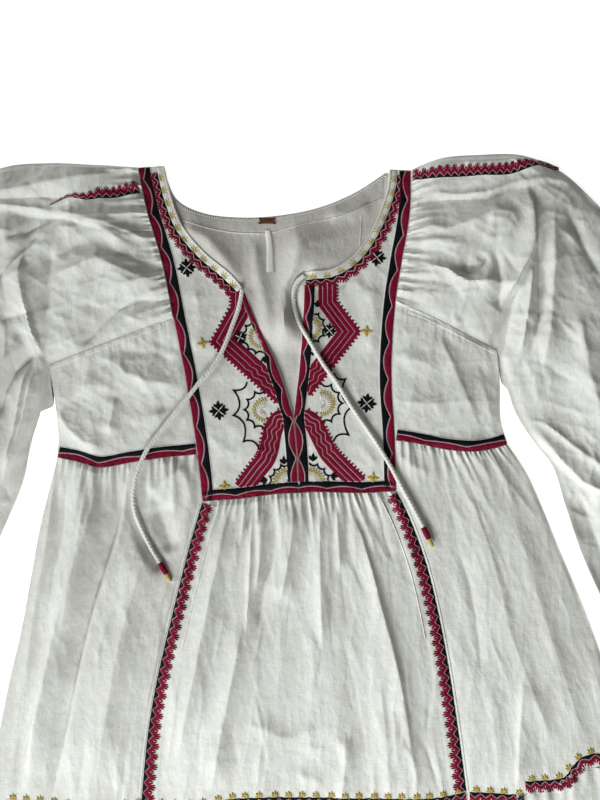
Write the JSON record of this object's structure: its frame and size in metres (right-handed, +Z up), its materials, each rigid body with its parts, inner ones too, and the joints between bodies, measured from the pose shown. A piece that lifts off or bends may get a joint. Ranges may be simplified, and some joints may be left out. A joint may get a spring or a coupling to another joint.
{
  "type": "peasant dress",
  "caption": "White cotton peasant dress laid flat, with a slit neck and ties, an embroidered bib, full gathered sleeves, tapes at the seams and a gathered skirt with a hem tier",
  "frame": {"origin": "on the resting surface, under the middle of the foot of the bib, on the flat underside of the skirt's back panel", "axes": "+Z up from the surface, +Y up the dress to the neck, +X to the right as seen from above; left and right are as seen from above"},
  "size_m": [0.9308, 0.9009, 0.0239],
  "materials": {
    "cotton": "matte slub weave",
    "cotton_inside": "matte weave",
    "crimson_embroidery": "cotton thread",
    "dark_blue_embroidery": "cotton thread",
    "yellow_thread": "cotton thread",
    "label": "woven label, bare"
  },
  "bodies": {
    "root": {"front_bib_left": "cotton", "tape_bib_left": "crimson_embroidery", "tape_foot_left": "dark_blue_embroidery", "tape_slit_left": "crimson_embroidery", "neck_band_left": "cotton", "neck_border_left": "crimson_embroidery", "side_bodice_left": "cotton", "tape_waist_left": "dark_blue_embroidery", "sleeve_left_front": "cotton", "strip_shoulder_left": "crimson_embroidery", "sleeve_left_back": "cotton", "cuff_left": "cotton", "skirt_front_left": "cotton", "strip_tier_left": "dark_blue_embroidery", "tie_left": "cotton", "tie_left_wrap": "crimson_embroidery", "tie_left_tuft": "yellow_thread", "strip_skirt_left": "crimson_embroidery", "front_bib_right": "cotton", "tape_bib_right": "crimson_embroidery", "tape_foot_right": "dark_blue_embroidery", "tape_slit_right": "crimson_embroidery", "neck_band_right": "cotton", "neck_border_right": "crimson_embroidery", "side_bodice_right": "cotton", "tape_waist_right": "dark_blue_embroidery", "sleeve_right_front": "cotton", "strip_shoulder_right": "crimson_embroidery", "sleeve_right_back": "cotton", "cuff_right": "cotton", "skirt_front_right": "cotton", "strip_tier_right": "dark_blue_embroidery", "tie_right": "cotton", "tie_right_wrap": "crimson_embroidery", "tie_right_tuft": "yellow_thread", "strip_skirt_right": "crimson_embroidery", "skirt_front_centre": "cotton", "tier_front": "cotton", "tier_back": "cotton", "skirt_back": "cotton", "back_bodice": "cotton", "strip_tier_centre": "dark_blue_embroidery", "neck_facing_back": "cotton_inside", "label_plate": "label", "size_label": "cotton"}
  },
  "joints": []
}
